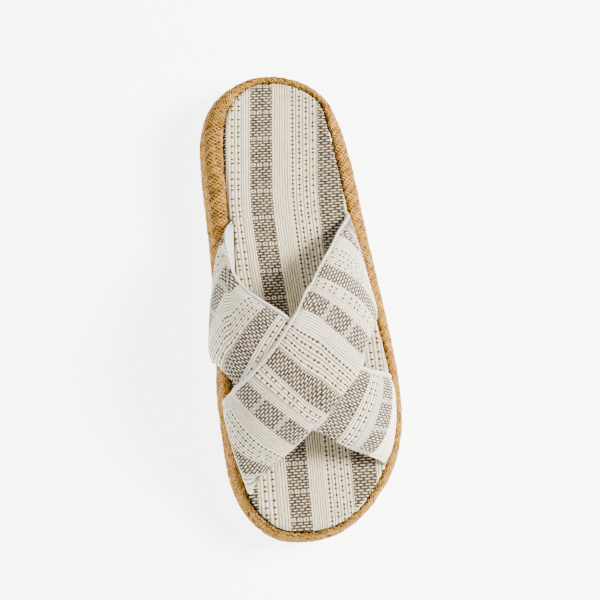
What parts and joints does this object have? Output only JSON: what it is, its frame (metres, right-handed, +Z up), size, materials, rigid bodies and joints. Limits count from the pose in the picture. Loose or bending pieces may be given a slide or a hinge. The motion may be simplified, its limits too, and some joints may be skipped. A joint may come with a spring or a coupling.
{
  "type": "house slipper",
  "caption": "left slip-on house slipper with crossed striped fabric straps, a padded striped footbed and a platform wrapped in plaited fibre on a smooth pale outsole",
  "frame": {"origin": "on the floor under the middle of the whole slipper's bounding box", "axes": "+X to the medial (inner) side, +Y to the toe, +Z up; the slipper stands on its outsole"},
  "size_m": [0.1054, 0.262, 0.0879],
  "materials": {
    "outsole_foam": "smooth satin moulded foam, off-white",
    "plaited_fibre": "coarse matt plaited plant fibre laid on the bias, straw tan with dark holes at the crossings",
    "footbed_fabric": "matt ribbed textile, cream with grey-brown patterned stripes along the foot",
    "strap_fabric": "matt ribbed textile, cream with grey-brown patterned stripes across the strap, plain off-white lining"
  },
  "bodies": {
    "root": {"outsole": "outsole_foam", "midsole": "plaited_fibre", "insole": "footbed_fabric", "upper": "strap_fabric"}
  },
  "joints": []
}
